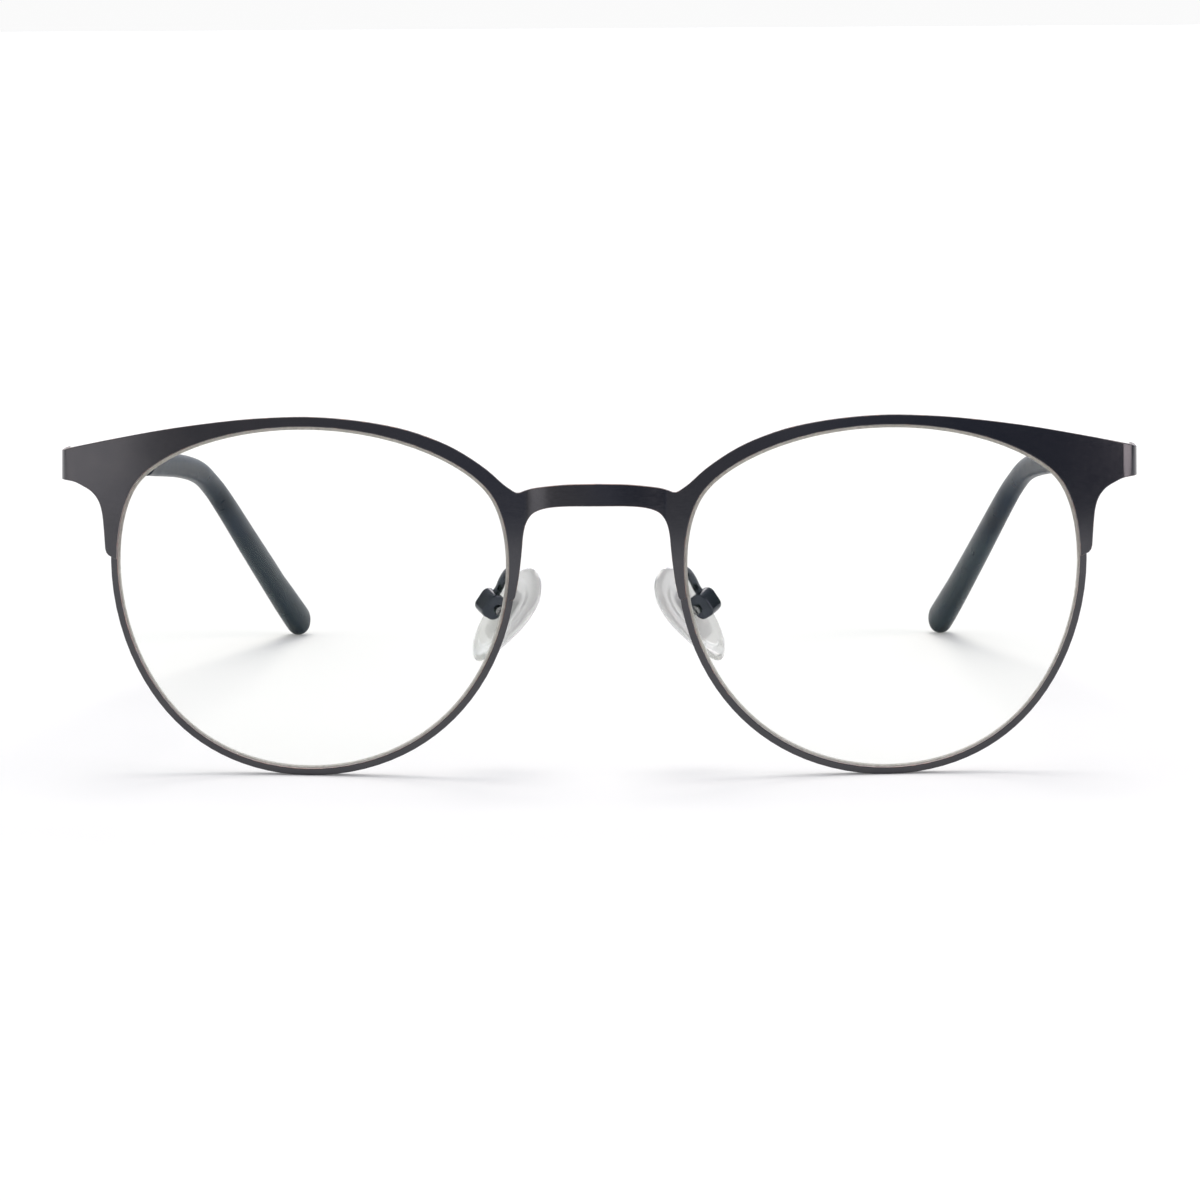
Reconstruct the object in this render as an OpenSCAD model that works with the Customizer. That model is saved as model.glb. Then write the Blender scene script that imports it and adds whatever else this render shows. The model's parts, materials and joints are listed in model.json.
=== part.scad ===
// Round metal eyeglasses with a sheet brow plate over two thin eyewires.
// Millimetres, +Z up, the front faces -Y, the temples run to +Y.
// The origin is at the middle of the bounding box's bottom face.
// Left and right are the wearer's, so left is at +X.

// Which sub-part to draw

/* [Lens outline] */
// Width of the clear opening of one eyewire
lens_width = 50.6; // [44:0.1:56]
// Height of the clear opening of one eyewire
lens_height = 44.1; // [38:0.1:48]
// Gap between the two openings over the nose
nose_gap = 22.3; // [16:0.1:26]
// How much wider the upper half of the outline is than the lower half
brow_fullness = 1.126; // [0.6:0.01:1.5]
// How far the outline bulges toward its corners
corner_fullness = 0.492; // [0.2:0.01:0.8]
// How far the outline leans toward the nose
nose_lean = 0.189; // [0:0.01:0.3]
// Radius of the curve that the whole front is bent to
base_curve = 120; // [90:1:160]
// Distance from the middle to the centre of each side's curve
wrap_offset = 23.6; // [20:0.1:28]

/* [Eyewire and lens] */
// Width of the eyewire seen from the front
eyewire_width = 0.9; // [0.8:0.05:1.4]
// Depth of the eyewire from front to back
eyewire_depth = 1.9; // [1.6:0.1:2.6]
// Depth of the groove that holds the lens
groove_depth = 0.35; // [0.2:0.05:0.5]
// Width of the groove
groove_width = 0.7; // [0.5:0.05:0.9]
// Play on each side of the lens rim in the groove
groove_play = 0.04; // [0.02:0.01:0.08]
// Thickness of the lens
lens_thickness = 1.5; // [1.2:0.1:2]
// Gap between the lens body and the inside of the eyewire
lens_gap = 0.03; // [0.02:0.01:0.1]

/* [Brow plate] */
// Thickness of the sheet
plate_thickness = 0.7; // [0.5:0.05:0.9]
// How far the middle of the bridge stands forward of the eyewires
bridge_bow = 0.5; // [0.2:0.05:1]
// Distance from the middle to the bend beside the bridge
bridge_bend_x = 8.8; // [8.2:0.1:9.2]
// Inside radius of the bend beside the bridge
bridge_bend_radius = 1.0; // [0.6:0.1:1.6]
// How far the outside of the endpiece stands outside the clear opening
endpiece_out = 7.6; // [6.5:0.1:8.5]
// Outside radius of the bend at the endpiece
endpiece_bend = 3; // [2.4:0.1:3.4]
// How far the top of the endpiece is below the top of the clear opening
endpiece_drop = 3.4; // [3:0.1:4]
// Height of the endpiece
endpiece_height = 3.9; // [3.5:0.1:4.3]
// Length of the endpiece behind its bend
endpiece_return = 3.4; // [3.2:0.1:5]
// How far the underside of the bridge is below the top of the clear opening
bridge_drop = 10; // [9.6:0.05:10.4]
// Play between the brow plate's inner edge and the clear opening
plate_play = 0.05; // [0.03:0.01:0.1]

/* [Closing block] */
// Width of the block that closes the eyewire
block_width = 2.1; // [1.9:0.1:2.4]
// Depth of the block
block_depth = 2.6; // [2.5:0.1:2.8]
// Height of each half of the block
block_height = 1.8; // [1.6:0.1:2]
// How far below the top of the clear opening the eyewire is split
split_drop = 5.8; // [5.4:0.1:6.4]
// Width of the split
split_gap = 0.16; // [0.1:0.02:0.3]
// How far outside the clear opening the rim screw stands, at the height of the split
rim_screw_out = 5.28; // [5:0.02:5.5]
// Diameter of the rim screw
rim_screw_diameter = 1.2; // [1:0.05:1.4]
// Diameter of the rim screw's head
rim_head_diameter = 1.8; // [1.6:0.05:2]

/* [Hinge] */
// Diameter of the hinge barrel
barrel_diameter = 2.4; // [2.2:0.1:2.6]
// Height of the whole barrel
barrel_height = 3; // [2.8:0.1:3.2]
// Height of the middle knuckle
knuckle_height = 1; // [0.8:0.05:1.2]
// Gap above and below the middle knuckle
knuckle_gap = 0.06; // [0.03:0.01:0.1]
// Diameter of the hinge screw
hinge_screw_diameter = 1.2; // [1:0.05:1.4]
// Running clearance around the hinge screw
hinge_clearance = 0.03; // [0.02:0.01:0.08]
// Diameter of the hinge screw's head
hinge_head_diameter = 1.8; // [1.6:0.05:2]
// Height of a screw head
head_height = 0.4; // [0.35:0.05:0.5]
// Thickness of the hinge leaves
leaf_thickness = 0.8; // [0.6:0.05:1]
// Length of each hinge leaf
leaf_length = 3.2; // [2.8:0.1:3.3]
// Gap between the endpiece and the temple when open
temple_gap = 0.1; // [0.06:0.02:0.2]

/* [Temple] */
// Thickness of the metal temple
temple_thickness = 0.9; // [0.8:0.05:1.1]
// Height of the metal temple at the hinge
temple_height = 3.1; // [2.9:0.1:3.3]
// Height of the metal temple where the tip starts
metal_end_height = 2.4; // [2.1:0.1:2.6]
// Distance of the temple's middle line below the endpiece's
temple_drop = 0.35; // [0.2:0.05:0.5]
// Height of the metal core inside the tip
core_height = 1.4; // [1.2:0.1:1.6]
// Distance from the hinge end to the start of the tip
tip_start = 50; // [45:1:56]
// Thickness of the tip sleeve along its straight part
tip_thickness = 2.4; // [2.2:0.1:2.8]
// Height of the tip sleeve where it starts
tip_height = 2.9; // [2.7:0.1:3.3]
// Height of the tip sleeve at its widest, behind the ear
tip_end_height = 5.7; // [5:0.1:6.4]
// How far the upright end of the tip leans back, as a share of its height
end_lean = 0.45; // [0.2:0.05:0.7]

/* [Nose pad] */
// Length of the nose pad
pad_length = 13.9; // [12:0.1:15]
// Width of the nose pad
pad_width = 8; // [6.5:0.1:8.5]
// Thickness of the nose pad
pad_thickness = 2.2; // [1.8:0.1:2.6]
// Lean of the pad from upright, seen from the front
pad_tilt = 33.5; // [25:0.5:40]
// Angle of the pad to straight back, seen from above
pad_splay = 34; // [25:0.5:38]
// Centre of the left pad, sideways
pad_x = 11.78; // [11.4:0.02:12.4]
// Centre of the pad behind the front
pad_y = 9.2; // [8.8:0.1:10]
// Height of the centre of the pad
pad_z = 19.85; // [19.5:0.05:20.5]
// Distance of the pad screw above the middle of the pad
axis_up = 0.42; // [0.2:0.02:0.8]
// Distance of the pad screw behind the middle of the pad's thickness
axis_out = 2.6; // [2.5:0.05:2.8]
// Width of the stud that turns on the pad screw
stud_width = 1.7; // [1.5:0.05:1.8]
// Thickness of the plate inside the pad
insert_thickness = 0.45; // [0.4:0.05:0.6]
// Length of the plate inside the pad
insert_length = 7.2; // [6:0.1:8]
// Width of the plate inside the pad
insert_width = 3.6; // [3.2:0.1:4]
// Length of the pad box along the pad
box_length = 3.3; // [3:0.1:3.8]
// Width of the pad box along its screw
box_width = 2.6; // [2.4:0.1:3]
// Depth of the pad box toward the pad
box_depth = 2.8; // [2.7:0.05:3.2]
// Width of the slot in the pad box
slot_width = 1.36; // [1.3:0.02:1.5]
// Play on each side of the stud in the slot
slot_play = 0.05; // [0.03:0.01:0.1]
// Diameter of the pad screw
pad_screw_diameter = 0.9; // [0.8:0.05:1]
// Running clearance around the pad screw
pad_screw_clearance = 0.03; // [0.02:0.01:0.06]
// Diameter of the pad arm's wire
pad_arm_diameter = 1.06; // [0.9:0.02:1.2]

/* [Hidden] */
$fn = 48;
// mean reach of the outline and its share that makes it wider than high
mean_reach = (lens_width + lens_height) / 4 + corner_fullness;
widening = (lens_width - lens_height) / 4;
lens_x = nose_gap / 2 + reach(180);
lens_z = reach(270) + eyewire_width;
// the sheet's outer face and middle line
plate_out = base_curve + plate_thickness;
plate_mid = base_curve + plate_thickness / 2;
outline_steps = 96;
// heights and sideways places that follow the clear opening
opening_top = lens_z + reach(90);
split_height = opening_top - split_drop;
endpiece_top = opening_top - endpiece_drop;
endpiece_bottom = endpiece_top - endpiece_height;
bridge_low = opening_top - bridge_drop;
endpiece_x = nose_gap / 2 + lens_width + endpiece_out;

// Support distance of the lens outline toward an angle, and its slope
function reach(a) = mean_reach + widening * cos(2 * a) - nose_lean * cos(3 * a)
  + brow_fullness * sin(3 * a) - corner_fullness * cos(4 * a);
function reach_slope(a) = -2 * widening * sin(2 * a) + 3 * nose_lean * sin(3 * a)
  + 3 * brow_fullness * cos(3 * a) + 4 * corner_fullness * sin(4 * a);
// A point of the outline moved outward by d
function outline_point(a, d) = [
  lens_x + (reach(a) + d) * cos(a) - reach_slope(a) * sin(a),
  lens_z + (reach(a) + d) * sin(a) + reach_slope(a) * cos(a)];
function outline(d) = [for (i = [0:outline_steps - 1]) outline_point(360 * i / outline_steps, d)];

// where the split crosses the outer side of the outline, and the rim screw beside it
split_side = [for (i = [0:240]) outline_point(i / 4, 0)];
split_x = max([for (p = split_side) if (p[1] >= split_height) p[0]]);
rim_screw_x = split_x + rim_screw_out;

// A smooth curve through the points, n steps between each two
function spline_at(a, b, c, d, t) = 0.5 * (2 * b + (c - a) * t
  + (2 * a - 5 * b + 4 * c - d) * t * t + (3 * b - a - 3 * c + d) * t * t * t);
function spline(p, n) = concat(
  [for (i = [0:len(p) - 2]) for (k = [0:n - 1]) spline_at(
    i > 0 ? p[i - 1] : 2 * p[0] - p[1], p[i], p[i + 1],
    i < len(p) - 2 ? p[i + 2] : 2 * p[i + 1] - p[i], k / n)],
  [p[len(p) - 1]]);
function unit(v) = v / norm(v);

// Tube of oval rings along a path: sizes[i] = [width, height] of ring i
function ring_frame(p, i, up) = let (
    ahead = unit(p[min(i + 1, len(p) - 1)] - p[max(i - 1, 0)]),
    side = unit(cross(ahead, up)))
  [side, cross(side, ahead)];
function tube_rings(p, sizes, n, fullness, up) = [for (i = [0:len(p) - 1]) let (f = ring_frame(p, i, up))
  [for (k = [0:n - 1]) let (c = cos(360 * k / n), s = sin(360 * k / n))
    p[i] + f[0] * sizes[i][0] / 2 * sign(c) * pow(abs(c), fullness)
      + f[1] * sizes[i][1] / 2 * sign(s) * pow(abs(s), fullness)]];
module tube(rings) {
  n = len(rings[0]);
  m = len(rings);
  points = [for (r = rings) for (q = r) q];
  sides = [for (i = [0:m - 2]) for (k = [0:n - 1])
    each [[i * n + k, i * n + (k + 1) % n, (i + 1) * n + (k + 1) % n],
      [i * n + k, (i + 1) * n + (k + 1) % n, (i + 1) * n + k]]];
  start_cap = [for (k = [1:n - 2]) [0, k + 1, k]];
  end_cap = [for (k = [1:n - 2]) [(m - 1) * n, (m - 1) * n + k, (m - 1) * n + k + 1]];
  polyhedron(points = points, faces = concat(sides, start_cap, end_cap), convexity = 6);
}

// Prism of a front-view outline between two depths
module front_prism(y0, y1) {
  translate([0, y1, 0]) rotate([90, 0, 0]) linear_extrude(height = y1 - y0) children();
}
// Curved shell between two radii of the base curve, around the left side's centre
module curved_shell(inner, outer) {
  translate([wrap_offset, base_curve, lens_z]) difference() {
    sphere(r = outer, $fn = 240);
    sphere(r = inner, $fn = 240);
  }
}
module mirrored() {
  mirror([1, 0, 0]) children();
}

// depth of the curved front surface at a point seen from the front
function front_y(x, z) = base_curve
  - sqrt(pow(base_curve, 2) - pow(x - wrap_offset, 2) - pow(z - lens_z, 2));

/* Temple path, from the hinge end to the end of the tip */
hinge_z = (endpiece_top + endpiece_bottom) / 2 - temple_drop;
// bend of the endpiece: its angle on the base curve and where the return starts
bend_angle = asin((endpiece_x - endpiece_bend - wrap_offset) / (plate_out - endpiece_bend));
bend_v = (plate_out - endpiece_bend) * cos(bend_angle);
endpiece_end = base_curve - sqrt(pow(bend_v, 2) - pow(hinge_z - lens_z, 2)) + endpiece_return;
temple_start = endpiece_end + temple_gap;
temple_x = endpiece_x - temple_thickness / 2;
temple_points = [
  [temple_x, temple_start, hinge_z],
  [temple_x, temple_start + 4, hinge_z - 0.1],
  [temple_x, temple_start + 8, hinge_z - 0.4],
  [temple_x - 0.1, temple_start + 12, hinge_z - 0.8],
  [68.1, 36, 37.4],
  [66.7, 56, 35.5],
  [64.8, 72, 33.8],
  [62.6, 86, 32.2],
  [60.9, 96, 30.3],
  [59.6, 103, 27.5],
  [58.2, 109, 23.9],
  [55.65, 121, 16.4],
  [53, 133, 8.85],
  [51.5, 139.2, 4.9],
  [50.5, 143.3, 2.382]];
path_steps = 4;
temple_path = spline(temple_points, path_steps);
// the tip starts on the path point nearest to its distance from the hinge end
tip_first = [for (i = [0:len(temple_path) - 1])
  if (temple_path[i][1] > temple_start + tip_start) i][0];
core_last = len(temple_path) - 5;
function rise(i) = let (j = min(i + 1, len(temple_path) - 1), k = max(i - 1, 0))
  norm([temple_path[j][1] - temple_path[k][1], temple_path[j][2] - temple_path[k][2]])
  / (temple_path[j][1] - temple_path[k][1]);
function metal_height(i) = temple_path[i][1] < temple_start + 8 ? temple_height
  : i < tip_first ? temple_height + (metal_end_height - temple_height)
    * (temple_path[i][1] - temple_start - 8) / (tip_start - 8)
  : core_height + (metal_end_height - core_height) * max(0, 1 - (i - tip_first) / 4);

// Side-view and top-view outlines of the metal temple, whose overlap is the temple
module temple_side_view() {
  polygon(concat(
    [for (i = [0:core_last]) [temple_path[i][1], temple_path[i][2] + metal_height(i) / 2 * rise(i)]],
    [for (i = [core_last:-1:0]) [temple_path[i][1], temple_path[i][2] - metal_height(i) / 2 * rise(i)]]));
}
module temple_top_view() {
  polygon(concat(
    [for (i = [0:core_last + 1]) [temple_path[i][0] + temple_thickness / 2, temple_path[i][1]]],
    [for (i = [core_last + 1:-1:0]) [temple_path[i][0] - temple_thickness / 2, temple_path[i][1]]]));
}
module temple() {
  intersection() {
    linear_extrude(height = 50) temple_top_view();
    translate([40, 0, 0]) rotate([90, 0, 90]) linear_extrude(height = 40) temple_side_view();
  }
}

// Tip sleeve: rings along the path, thicker behind the ear, rounded at both ends
tip_last = len(temple_path) - 1;
function tip_share(i) = (i - tip_first) / (tip_last - tip_first);
function tip_bend(i) = let (t = min(1, max(0, (tip_share(i) - 0.3) / 0.28))) t * t * (3 - 2 * t);
function tip_swell(i) = pow(max(0, (tip_share(i) - 0.45) / 0.55), 1.5);
tip_sizes = [for (i = [tip_first:tip_last])
  [tip_thickness + 0.5 * tip_swell(i),
    tip_height + 0.6 * tip_bend(i) + (tip_end_height - tip_height - 0.6) * tip_swell(i)]];
tip_end_round = [[0.45, 0.985], [0.85, 0.93], [1.2, 0.84], [1.5, 0.7], [1.68, 0.52], [1.75, 0.3]];
end_way = unit(temple_path[tip_last] - temple_path[tip_last - 1]);
tip_path = concat(
  [temple_path[tip_first]],
  [for (i = [tip_first:tip_last]) temple_path[i] + (i == tip_first
    ? 0.3 * unit(temple_path[i + 1] - temple_path[i]) : [0, 0, 0])],
  [for (e = tip_end_round) temple_path[tip_last] + e[0] * end_way]);
tip_all_sizes = concat(
  [tip_sizes[0] * 0.86],
  tip_sizes,
  [for (e = tip_end_round) tip_sizes[tip_last - tip_first] * e[1]]);
// toward the end the rings lean back, so that the end of the tip stands more upright
tip_square_rings = tube_rings(tip_path, tip_all_sizes, 20, 0.86, [0, 0, 1]);
function tip_lean(i) = end_lean * pow(max(0, i / (len(tip_path) - 1) - 0.7) / 0.3, 1.5);
tip_rings = [for (i = [0:len(tip_path) - 1]) let (f = ring_frame(tip_path, i, [0, 0, 1]))
  [for (q = tip_square_rings[i]) q + tip_lean(i) * ((q - tip_path[i]) * f[1]) * end_way]];
module temple_tip() {
  difference() {
    tube(tip_rings);
    temple();
  }
}

/* The middle of the object's depth, so that the origin is under it */
bridge_radius = let (
    end_y = base_curve - sqrt(pow(plate_mid, 2) - pow(bridge_bend_x - wrap_offset, 2)),
    sag = bridge_bow + plate_mid - base_curve + end_y)
  (pow(bridge_bend_x, 2) + sag * sag) / (2 * sag);
bridge_v = plate_mid + bridge_bow - bridge_radius;
front_most = base_curve - sqrt(pow(plate_out + bridge_bow, 2) - pow(lens_z - bridge_low, 2));
rear_most = max([for (r = tip_rings) for (q = r) q[1]]);
depth_middle = (front_most + rear_most) / 2;

// Front-view outline of the brow plate, its left half first
// points beside the nose as shares of half the nose gap and of the opening's height
function by_nose(points) = [for (p = points)
  [p[0] * nose_gap / 2, eyewire_width + p[1] * lens_height]];
// points around the lens as shares of the opening's width and height
function by_lens(points) = [for (p = points)
  [nose_gap / 2 + p[0] * lens_width, eyewire_width + p[1] * lens_height]];
top_edge = spline(by_nose([[0, 0.8376], [0.3587, 0.8349], [0.6816, 0.8249], [0.8251, 0.8154]]), 5);
notch = by_nose([[0.87, 0.8109], [0.9103, 0.8104]]);
brow_edge = spline(concat(by_lens([[-0.0119, 0.8145], [0.0136, 0.8356], [0.0555, 0.8785],
  [0.1144, 0.9247], [0.1735, 0.9592], [0.2524, 0.9914], [0.3314, 1.011], [0.4103, 1.023],
  [0.4895, 1.029], [0.569, 1.028], [0.6891, 1.018], [0.8508, 0.9925], [0.999, 0.9599]]),
  [[endpiece_x - 1.6, endpiece_top + 0.3], [endpiece_x - 0.6, endpiece_top],
  [endpiece_x + 0.6, endpiece_top - 0.4]]), 3);
under_edge = spline(concat([[endpiece_x + 0.6, endpiece_bottom],
  [endpiece_x - 1.65, endpiece_bottom - 0.12]],
  by_lens([[1.091, 0.8197], [1.066, 0.8032], [1.048, 0.7778], [1.039, 0.746],
  [1.035, 0.7075], [1.032, 0.6576]])), 3);
temple_toe = by_lens([[1.031, 0.639], [1.028, 0.6274], [1.022, 0.6195], [1.014, 0.6156]]);
temple_toe_angle = 0.5;
nose_toe_angle = 189;
nose_toe = by_nose([[0.9776, 0.4989], [0.9507, 0.5011], [0.9309, 0.5088]]);
nose_edge = spline(concat(by_nose([[0.922, 0.5193], [0.8906, 0.5601], [0.8619, 0.615],
  [0.8457, 0.656], [0.8332, 0.6878], [0.8045, 0.7193], [0.7462, 0.7447], [0.661, 0.7592],
  [0.5184, 0.7687], [0.304, 0.7728]]), [[0, bridge_low]]), 4);
plate_half = concat(top_edge, notch, brow_edge, under_edge, temple_toe,
  [for (i = [0:52]) outline_point(temple_toe_angle + (nose_toe_angle - temple_toe_angle) * i / 52,
    plate_play)],
  nose_toe, nose_edge);
module plate_outline() {
  polygon(concat(plate_half,
    [for (i = [len(plate_half) - 2:-1:1]) [-plate_half[i][0], plate_half[i][1]]]));
}

// Section of the bent sheet: x is the distance from the axis that the front is rolled about,
// y is the distance from the middle of the glasses
function ray(centre, a, r) = [centre[0] + r * cos(a), centre[1] + r * sin(a)];
module sheet_ring(centre, r) {
  translate(centre) difference() {
    circle(r = r + plate_thickness / 2, $fn = 360);
    circle(r = r - plate_thickness / 2, $fn = 360);
  }
}
// The two sides of a line through a point: further round from the middle, and nearer to it
module past(p, a) {
  translate(p) rotate(a) translate([-150, 0]) square([300, 300]);
}
module before(p, a) {
  translate(p) rotate(a) translate([-150, -300]) square([300, 300]);
}
curve_centre = [0, wrap_offset];
bridge_centre = [bridge_v, 0];
// centre of the small bend beside the bridge, in front of the sheet
fold_mid = bridge_bend_radius + plate_thickness / 2;
fold_a = plate_mid + fold_mid;
fold_b = bridge_radius + fold_mid;
fold_span = norm(curve_centre - bridge_centre);
fold_along = (fold_a * fold_a - fold_b * fold_b + fold_span * fold_span) / (2 * fold_span);
fold_off = sqrt(fold_a * fold_a - fold_along * fold_along);
fold_way = (bridge_centre - curve_centre) / fold_span;
fold_centre = curve_centre + fold_along * fold_way + fold_off * [-fold_way[1], fold_way[0]];
fold_curve_angle = atan2(fold_centre[1] - curve_centre[1], fold_centre[0] - curve_centre[0]);
fold_bridge_angle = atan2(fold_centre[1] - bridge_centre[1], fold_centre[0] - bridge_centre[0]);
end_mid = endpiece_bend - plate_thickness / 2;
end_centre = ray(curve_centre, bend_angle, plate_mid - end_mid);
// where the bridge, the small bend, the long curve and the end bend meet
bridge_seam = ray(bridge_centre, fold_bridge_angle, bridge_radius);
fold_seam = ray(curve_centre, fold_curve_angle, plate_mid);
end_seam = ray(curve_centre, bend_angle, plate_mid);
module sheet_section_side() {
  intersection() {
    sheet_ring(fold_centre, fold_mid);
    past(bridge_seam, fold_bridge_angle);
    before(fold_seam, fold_curve_angle);
  }
  intersection() {
    sheet_ring(curve_centre, plate_mid);
    past(fold_seam, fold_curve_angle);
    before(end_seam, bend_angle);
  }
  intersection() {
    sheet_ring(end_centre, end_mid);
    past(end_seam, bend_angle);
    before(end_centre, 90);
  }
  translate(end_centre) translate([-endpiece_return - 3, end_mid - plate_thickness / 2])
    square([endpiece_return + 3, plate_thickness]);
}
module sheet_section() {
  intersection() {
    sheet_ring(bridge_centre, bridge_radius);
    before(bridge_seam, fold_bridge_angle);
    mirror([0, 1]) before(bridge_seam, fold_bridge_angle);
  }
  sheet_section_side();
  mirror([0, 1]) sheet_section_side();
}
// The section rolled about the sideways axis through the centre of the base curve
module rolled_sheet() {
  multmatrix([[0, 0, 1, 0], [-1, 0, 0, base_curve], [0, -1, 0, lens_z], [0, 0, 0, 1]])
    rotate([0, 0, -15]) rotate_extrude(angle = 20, $fn = 720) sheet_section();
}
module brow_plate() {
  intersection() {
    rolled_sheet();
    front_prism(-3, endpiece_end) plate_outline();
  }
}

// Eyewire with its groove and the split at the closing block
groove_mid = base_curve - eyewire_depth / 2;
module eyewire() {
  difference() {
    intersection() {
      front_prism(-2, 16) difference() {
        polygon(outline(eyewire_width));
        polygon(outline(0));
      }
      curved_shell(base_curve - eyewire_depth, base_curve);
    }
    intersection() {
      front_prism(-2, 16) polygon(outline(groove_depth));
      curved_shell(groove_mid - groove_width / 2, groove_mid + groove_width / 2);
    }
    translate([lens_x + 15, -3, split_height - split_gap / 2]) cube([20, 20, split_gap]);
  }
}
module lens() {
  intersection() {
    front_prism(-2, 16) polygon(outline(-lens_gap));
    curved_shell(groove_mid - lens_thickness / 2, groove_mid + lens_thickness / 2);
  }
  intersection() {
    front_prism(-2, 16) difference() {
      polygon(outline(groove_depth));
      polygon(outline(-1));
    }
    curved_shell(groove_mid - groove_width / 2 + groove_play, groove_mid + groove_width / 2 - groove_play);
  }
}

// Closing block halves behind the brow plate, and the screw that pulls them together
rim_screw_y = front_y(rim_screw_x, split_height + block_height) + block_depth / 2;
module closing_block(z0, hole) {
  difference() {
    intersection() {
      translate([rim_screw_x + block_width / 2 - 6, 0, z0]) cube([6, 20, block_height]);
      curved_shell(base_curve - block_depth, base_curve);
    }
    front_prism(-2, 16) polygon(outline(eyewire_width));
    translate([rim_screw_x, rim_screw_y, z0 - 1]) cylinder(d = hole, h = block_height + 2);
  }
}
module upper_block() {
  closing_block(split_height + split_gap / 2, rim_screw_diameter + 0.08);
}
module lower_block() {
  closing_block(split_height - split_gap / 2 - block_height, rim_screw_diameter);
}
// A screw whose head sits at the top, with a slot across it
module slotted_screw(shaft, length, head) {
  translate([0, 0, -length]) cylinder(d = shaft, h = length);
  difference() {
    cylinder(d = head, h = head_height);
    translate([-head, -0.13, head_height - 0.25]) cube([2 * head, 0.26, 0.3]);
  }
}
module rim_screw() {
  translate([rim_screw_x, rim_screw_y, split_height + split_gap / 2 + block_height])
    slotted_screw(rim_screw_diameter, 2 * block_height + split_gap, rim_head_diameter);
}

// Hinge: the front leaf has two knuckles, the temple leaf has the middle one
hinge_x = endpiece_x - temple_thickness - barrel_diameter / 2 - 0.1;
hinge_y = temple_start + barrel_diameter / 2 + 0.1;
inner_face = endpiece_x - plate_thickness;
temple_face = endpiece_x - temple_thickness;
module hinge_bore(d) {
  translate([hinge_x, hinge_y, hinge_z - 5]) cylinder(d = d, h = 10);
}
module front_leaf() {
  outer_knuckle = (barrel_height - knuckle_height) / 2 - knuckle_gap;
  difference() {
    for (z = [hinge_z - barrel_height / 2, hinge_z + barrel_height / 2 - outer_knuckle]) {
      translate([hinge_x, hinge_y, z]) cylinder(d = barrel_diameter, h = outer_knuckle);
      translate([inner_face - leaf_thickness, endpiece_end - 1, z])
        cube([temple_face - 0.1 - inner_face + leaf_thickness, hinge_y - endpiece_end + 1, outer_knuckle]);
    }
    hinge_bore(hinge_screw_diameter);
  }
  translate([inner_face - leaf_thickness, endpiece_end - leaf_length, hinge_z - barrel_height / 2])
    cube([leaf_thickness, leaf_length - 0.1, barrel_height]);
}
module temple_leaf() {
  difference() {
    union() {
      translate([hinge_x, hinge_y, hinge_z - knuckle_height / 2])
        cylinder(d = barrel_diameter, h = knuckle_height);
      translate([hinge_x, hinge_y, hinge_z - knuckle_height / 2])
        cube([temple_face - hinge_x, barrel_diameter / 2 + 0.6, knuckle_height]);
      translate([temple_face, hinge_y + barrel_diameter / 2 + 0.35, hinge_z - barrel_height / 2])
        translate([-leaf_thickness, 0, 0]) cube([leaf_thickness, leaf_length, barrel_height - 0.8]);
    }
    hinge_bore(hinge_screw_diameter + 2 * hinge_clearance);
  }
}
module hinge_screw() {
  translate([hinge_x, hinge_y, hinge_z + barrel_height / 2])
    slotted_screw(hinge_screw_diameter, barrel_height, hinge_head_diameter);
}

// Pad frame: x runs up the pad, y back across it, z toward the nose
pad_up = [-sin(pad_tilt), 0, cos(pad_tilt)];
pad_back = [cos(pad_tilt) * sin(pad_splay), cos(pad_splay), sin(pad_tilt) * sin(pad_splay)];
pad_in = cross(pad_up, pad_back);
module pad_frame() {
  multmatrix([[pad_up[0], pad_back[0], pad_in[0], pad_x], [pad_up[1], pad_back[1], pad_in[1], pad_y],
    [pad_up[2], pad_back[2], pad_in[2], pad_z], [0, 0, 0, 1]]) children();
}
// the pad's screw axis and the middle of its box in the pad frame
axis_in = -axis_out;
box_in = axis_in - 0.7;
function in_pad_frame(p) = [pad_x, pad_y, pad_z] + p[0] * pad_up + p[1] * pad_back + p[2] * pad_in;

module rounded_bar(length, width, height, r) {
  linear_extrude(height = height) union() {
    square([length - 2 * r, width], center = true);
    square([length, width - 2 * r], center = true);
    for (x = [-1, 1]) {
      for (y = [-1, 1]) {
        translate([x * (length / 2 - r), y * (width / 2 - r)]) circle(r = r);
      }
    }
  }
}
module pad_axis_hole(d) {
  translate([axis_up, 0, axis_in]) rotate([90, 0, 0]) cylinder(d = d, h = 8, center = true);
}
// Box with rounded outer corners, its slot open toward the pad
module pad_box() {
  pad_frame() difference() {
    translate([axis_up, box_width / 2, box_in]) rotate([90, 0, 0])
      rounded_bar(box_length, box_depth, box_width, 1);
    translate([axis_up - box_length, -slot_width / 2, axis_in - 1.05])
      cube([2 * box_length, slot_width, 4]);
    pad_axis_hole(pad_screw_diameter);
  }
}
module pad_screw() {
  pad_frame() translate([axis_up, 0, axis_in]) rotate([90, 0, 0]) {
    cylinder(d = pad_screw_diameter, h = box_width + 0.1, center = true);
    translate([0, 0, box_width / 2]) difference() {
      cylinder(d = 1.25, h = 0.35);
      translate([-1, -0.1, 0.17]) cube([2, 0.2, 0.3]);
    }
  }
}
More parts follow.
